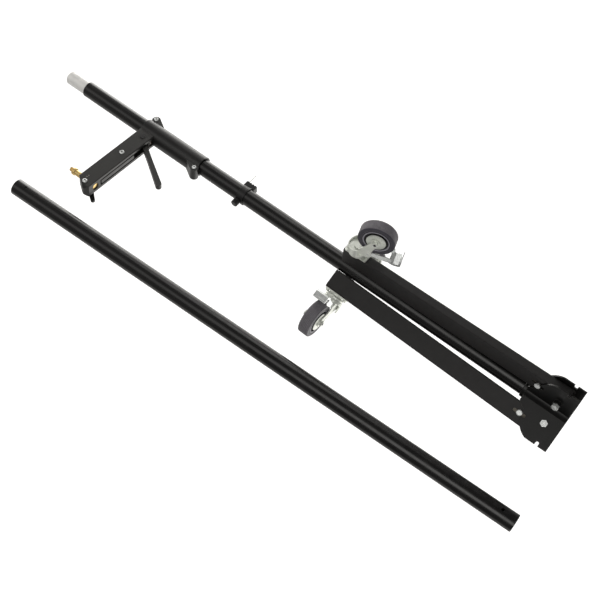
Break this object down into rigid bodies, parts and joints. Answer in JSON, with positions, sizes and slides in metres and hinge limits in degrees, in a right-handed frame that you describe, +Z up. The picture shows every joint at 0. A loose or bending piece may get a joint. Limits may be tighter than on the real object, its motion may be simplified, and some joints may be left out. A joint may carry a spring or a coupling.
{
  "type": "wheeled column stand",
  "caption": "Folding round-column stand on wheeled legs, with a lever-released sliding arm and brass stud, a stop collar and a loose extension tube, shown folded.",
  "frame": {"origin": "column axis at the flat underside of the base", "axes": "+Z up the column, -X along leg a, -Y towards the open side between legs a and b"},
  "size_m": [0.3725, 0.3286, 1.3138],
  "materials": {
    "tube_black": "semi-gloss black powder coat with fine draw lines",
    "leg_black": "flat black powder coat",
    "cast_black": "fine-textured black paint on a casting",
    "zinc": "bright zinc plate on pressed steel",
    "spigot_grey": "turned, light grey",
    "brass": "turned brass, satin",
    "tyre_grey": "grey thermoplastic rubber",
    "wheel_core": "moulded grey core with a black recess",
    "black_plastic": "moulded black nylon",
    "bush_plastic": "natural acetal",
    "shoe": "brake lining"
  },
  "bodies": {
    "stand": {"column_tube": "tube_black", "column_spigot": "spigot_grey", "base_collar": "leg_black", "base_plug": "black_plastic", "bracket_ab": "leg_black", "bracket_bc": "leg_black", "bracket_ca": "leg_black", "pivot_bolts": "zinc", "pivot_nuts": "zinc"},
    "leg_a": {"leg_a_tube": "leg_black", "leg_a_end_cap": "black_plastic", "leg_a_inserts": "zinc", "leg_a_spring": "zinc", "caster_a_mount": "zinc"},
    "lock_a": {"leg_a_lock_pin": "zinc"},
    "fork_a": {"caster_a_fork": "zinc", "caster_a_axle": "zinc"},
    "wheel_a": {"caster_a_wheel": "wheel_core", "caster_a_tyre": "tyre_grey"},
    "pedal_a": {"caster_a_brake": "zinc"},
    "leg_b": {"leg_b_tube": "leg_black", "leg_b_end_cap": "black_plastic", "leg_b_inserts": "zinc", "leg_b_spring": "zinc", "caster_b_mount": "zinc"},
    "lock_b": {"leg_b_lock_pin": "zinc"},
    "fork_b": {"caster_b_fork": "zinc", "caster_b_axle": "zinc"},
    "wheel_b": {"caster_b_wheel": "wheel_core", "caster_b_tyre": "tyre_grey"},
    "pedal_b": {"caster_b_brake": "zinc"},
    "leg_c": {"leg_c_tube": "leg_black", "leg_c_end_cap": "black_plastic", "leg_c_inserts": "zinc", "leg_c_spring": "zinc", "caster_c_mount": "zinc"},
    "lock_c": {"leg_c_lock_pin": "zinc"},
    "fork_c": {"caster_c_fork": "zinc", "caster_c_axle": "zinc"},
    "wheel_c": {"caster_c_wheel": "wheel_core", "caster_c_tyre": "tyre_grey"},
    "pedal_c": {"caster_c_brake": "zinc"},
    "carriage_guide": {"carriage_bushes": "bush_plastic"},
    "carriage": {"carriage_sleeve": "cast_black", "roller_axles": "zinc", "arm_beam": "cast_black", "arm_screws": "zinc", "arm_end_block": "cast_black", "lever_pin": "cast_black", "brake_spring": "zinc"},
    "top_roller": {"roller_top": "black_plastic"},
    "bottom_roller": {"roller_bottom": "black_plastic"},
    "stud": {"stud": "brass"},
    "stud_lock": {"stud_lock_lever": "cast_black"},
    "lever": {"release_lever": "cast_black"},
    "shoe": {"brake_shoe": "shoe"},
    "collar": {"stop_collar": "black_plastic", "collar_pin": "zinc"},
    "knob": {"collar_knob": "black_plastic"},
    "extension": {"extension_tube": "tube_black"}
  },
  "joints": [
    {"name": "leg_a_fold", "type": "hinge", "parent": "stand", "child": "leg_a", "pos_m": [-0.038, 0, 0.032], "axis": [0, -1, 0], "range_deg": [0, 91.2]},
    {"name": "leg_a_lock", "type": "slide", "parent": "leg_a", "child": "lock_a", "axis": [0.0209, 0, 0.9998], "range_m": [-0.0098, 0]},
    {"name": "caster_a_swivel", "type": "hinge", "parent": "leg_a", "child": "fork_a", "pos_m": [-0.06863, 0, 0.50374], "axis": [-0.9998, 0, 0.0209], "continuous": true},
    {"name": "caster_a_roll", "type": "hinge", "parent": "fork_a", "child": "wheel_a", "pos_m": [-0.12462, -0.032, 0.50492], "axis": [0.0209, 0, 0.9998], "continuous": true},
    {"name": "caster_a_brake_press", "type": "hinge", "parent": "fork_a", "child": "pedal_a", "pos_m": [-0.08462, -0.022, 0.50408], "axis": [-0.0209, 0, -0.9998], "range_deg": [0, 12]},
    {"name": "leg_b_fold", "type": "hinge", "parent": "stand", "child": "leg_b", "pos_m": [0.019, -0.03291, 0.032], "axis": [0.866, 0.5, 0], "range_deg": [0, 91.2]},
    {"name": "leg_b_lock", "type": "slide", "parent": "leg_b", "child": "lock_b", "axis": [-0.0105, 0.0181, 0.9998], "range_m": [-0.0098, 0]},
    {"name": "caster_b_swivel", "type": "hinge", "parent": "leg_b", "child": "fork_b", "pos_m": [0.03431, -0.05943, 0.50374], "axis": [0.4999, -0.8658, 0.0209], "continuous": true},
    {"name": "caster_b_roll", "type": "hinge", "parent": "fork_b", "child": "wheel_b", "pos_m": [0.07142, -0.10339, 0.47458], "axis": [0.8179, 0.4799, 0.3172], "continuous": true},
    {"name": "caster_b_brake_press", "type": "hinge", "parent": "fork_b", "child": "pedal_b", "pos_m": [0.04858, -0.07017, 0.48322], "axis": [-0.8179, -0.4799, -0.3172], "range_deg": [0, 12]},
    {"name": "leg_c_fold", "type": "hinge", "parent": "stand", "child": "leg_c", "pos_m": [0.019, 0.03291, 0.032], "axis": [-0.866, 0.5, 0], "range_deg": [0, 91.2]},
    {"name": "leg_c_lock", "type": "slide", "parent": "leg_c", "child": "lock_c", "axis": [-0.0105, -0.0181, 0.9998], "range_m": [-0.0098, 0]},
    {"name": "caster_c_swivel", "type": "hinge", "parent": "leg_c", "child": "fork_c", "pos_m": [0.03431, 0.05943, 0.50374], "axis": [0.4999, 0.8658, 0.0209], "continuous": true},
    {"name": "caster_c_roll", "type": "hinge", "parent": "fork_c", "child": "wheel_c", "pos_m": [0.03705, 0.12218, 0.51844], "axis": [0.3565, -0.2277, 0.9061], "continuous": true},
    {"name": "caster_c_brake_press", "type": "hinge", "parent": "fork_c", "child": "pedal_c", "pos_m": [0.02495, 0.08309, 0.51338], "axis": [-0.3565, 0.2277, -0.9061], "range_deg": [0, 12]},
    {"name": "carriage_slide", "type": "slide", "parent": "stand", "child": "carriage_guide", "axis": [0, 0, 1], "range_m": [-0.05, 0.165]},
    {"name": "carriage_turn", "type": "hinge", "parent": "carriage_guide", "child": "carriage", "pos_m": [0, 0, 0.981], "axis": [0, 0, 1], "continuous": true},
    {"name": "roller_top_spin", "type": "hinge", "parent": "carriage", "child": "top_roller", "pos_m": [0.01991, 0.01258, 1.054], "axis": [0.5344, -0.8453, 0], "continuous": true},
    {"name": "roller_bottom_spin", "type": "hinge", "parent": "carriage", "child": "bottom_roller", "pos_m": [-0.01991, -0.01258, 0.9055], "axis": [0.5344, -0.8453, 0], "continuous": true},
    {"name": "release_lever_squeeze", "type": "hinge", "parent": "carriage", "child": "lever", "pos_m": [-0.02789, -0.01763, 1.042], "axis": [-0.5344, 0.8453, 0], "range_deg": [0, 30], "stiffness_Nm_per_rad": 0.4, "springref_deg": -28.65},
    {"name": "brake_shoe_slide", "type": "slide", "parent": "carriage", "child": "shoe", "axis": [-0.8453, -0.5344, 0], "range_m": [0, 0.00061]},
    {"name": "stud_turn", "type": "hinge", "parent": "carriage", "child": "stud", "pos_m": [-0.16145, -0.10206, 1.043], "axis": [0, 0, 1], "continuous": true},
    {"name": "stud_lock_turn", "type": "hinge", "parent": "carriage", "child": "stud_lock", "pos_m": [-0.16946, -0.08938, 1.042], "axis": [0.5344, -0.8453, 0], "range_deg": [-40, 100]},
    {"name": "collar_slide", "type": "slide", "parent": "stand", "child": "collar", "axis": [0, 0, 1], "range_m": [-0.2, 0.02]},
    {"name": "collar_knob_turn", "type": "hinge", "parent": "collar", "child": "knob", "pos_m": [0, 0, 0.7906], "axis": [-0.9063, -0.4226, 0], "range_deg": [0, 360]},
    {"name": "extension_lift", "type": "slide", "parent": "stand", "child": "extension", "axis": [-0.0339, -0.033, 0.9989], "range_m": [0, 0.054]}
  ],
  "couplings": [
    {"joint": "roller_top_spin", "follows": "carriage_slide", "rad_per_m": 166.67},
    {"joint": "roller_bottom_spin", "follows": "carriage_slide", "rad_per_m": -166.67},
    {"joint": "brake_shoe_slide", "follows": "release_lever_squeeze", "m_per_rad": 0.0011459}
  ]
}
